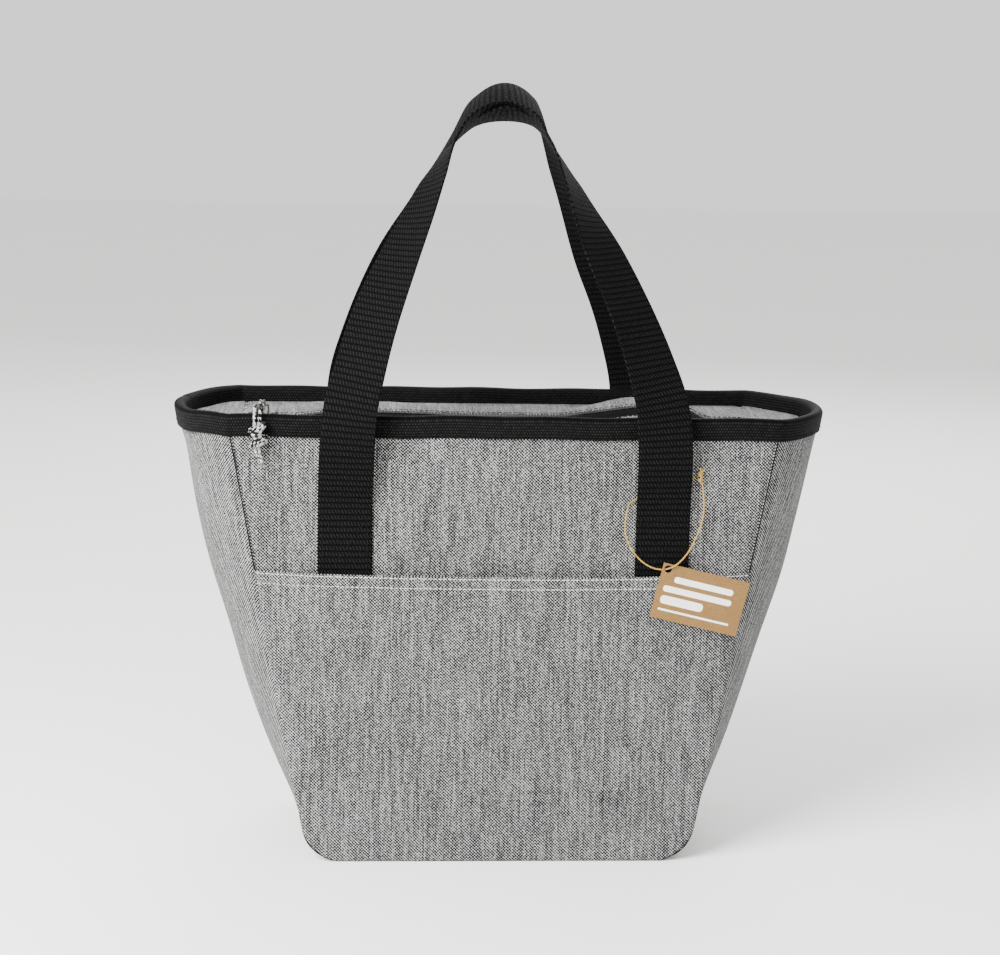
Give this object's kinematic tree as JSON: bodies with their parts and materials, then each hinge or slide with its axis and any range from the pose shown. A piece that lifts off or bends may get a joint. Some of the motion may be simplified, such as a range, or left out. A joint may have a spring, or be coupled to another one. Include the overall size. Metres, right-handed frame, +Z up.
{
  "type": "insulated cooler bag",
  "caption": "Tapered insulated cooler tote with a recessed zip lid that folds open, an outer pocket, two webbing carry handles, a cord zip pull and a card hang tag.",
  "frame": {"origin": "centre of the underside of the base, on the surface the bag stands on", "axes": "+Z up, -Y to the front with the pocket, +X to the right of someone facing the front"},
  "size_m": [0.458, 0.1782, 0.532],
  "materials": {
    "grey_fabric": "matte",
    "foam": "matte",
    "silver_lining": "satin",
    "black_webbing": "matte",
    "black_binding": "matte",
    "board": "matte",
    "zip_tape": "matte",
    "zip_coil": "satin",
    "zip_metal": "satin",
    "melange_cord": "matte",
    "kraft_card": "matte",
    "golden_string": "satin"
  },
  "bodies": {
    "bag": {"front_panel": "grey_fabric", "back_panel": "grey_fabric", "left_gusset": "grey_fabric", "right_gusset": "grey_fabric", "base_panel": "grey_fabric", "front_pocket": "grey_fabric", "left_lid_end": "grey_fabric", "right_lid_end": "grey_fabric", "front_insulation": "foam", "front_lining": "silver_lining", "back_insulation": "foam", "back_lining": "silver_lining", "left_insulation": "foam", "left_lining": "silver_lining", "right_insulation": "foam", "right_lining": "silver_lining", "base_insulation": "foam", "base_lining": "silver_lining", "base_board": "board", "rim_binding": "black_binding", "front_left_strap_tail": "black_webbing", "front_right_strap_tail": "black_webbing", "back_left_strap_tail": "black_webbing", "back_right_strap_tail": "black_webbing", "left_zip_end_tape": "zip_tape", "left_zip_end_coil": "zip_coil", "right_zip_end_tape": "zip_tape", "right_zip_end_coil": "zip_coil", "top_stop": "zip_metal", "bottom_stop": "zip_metal", "tag_loop": "golden_string", "tag_knot": "golden_string"},
    "front_flap": {"front_flap": "grey_fabric", "front_flap_insulation": "foam", "front_flap_lining": "silver_lining", "front_zip_tape": "zip_tape", "front_zip_coil": "zip_coil"},
    "back_flap": {"back_flap": "grey_fabric", "back_flap_insulation": "foam", "back_flap_lining": "silver_lining", "back_zip_tape": "zip_tape", "back_zip_coil": "zip_coil"},
    "zip_slider": {"zip_slider": "zip_metal", "slider_bail": "zip_metal"},
    "zip_pull": {"pull_cord": "melange_cord", "pull_knot": "melange_cord", "pull_tail": "melange_cord"},
    "front_handle": {"front_handle": "black_webbing"},
    "back_handle": {"back_handle": "black_webbing"},
    "hang_tag": {"hang_tag": "kraft_card", "tag_string": "golden_string"}
  },
  "joints": [
    {"name": "zip_slide", "type": "slide", "parent": "bag", "child": "zip_slider", "axis": [1, 0, 0], "range_m": [0, 0.326]},
    {"name": "front_flap_fold", "type": "hinge", "parent": "bag", "child": "front_flap", "pos_m": [0, -0.0665, 0.3], "axis": [-1, 0, 0], "range_deg": [0, 75]},
    {"name": "back_flap_fold", "type": "hinge", "parent": "bag", "child": "back_flap", "pos_m": [0, 0.0665, 0.3], "axis": [1, 0, 0], "range_deg": [0, 75]},
    {"name": "pull_swing", "type": "hinge", "parent": "zip_slider", "child": "zip_pull", "pos_m": [-0.166, 0, 0.3081], "axis": [-1, 0, 0], "range_deg": [0, 150]},
    {"name": "front_handle_swing", "type": "hinge", "parent": "bag", "child": "front_handle", "pos_m": [0, -0.0772, 0.252], "axis": [1, 0, 0], "range_deg": [0, 140]},
    {"name": "back_handle_swing", "type": "hinge", "parent": "bag", "child": "back_handle", "pos_m": [0, 0.0772, 0.252], "axis": [-1, 0, 0], "range_deg": [0, 140]},
    {"name": "tag_swing", "type": "hinge", "parent": "bag", "child": "hang_tag", "pos_m": [0.1336, -0.08, 0.2672], "axis": [-0.9755, 0.0155, -0.2193], "range_deg": [0, 90]}
  ],
  "couplings": [
    {"joint": "front_flap_fold", "follows": "zip_slide", "rad_per_m": 4},
    {"joint": "back_flap_fold", "follows": "zip_slide", "rad_per_m": 4}
  ]
}
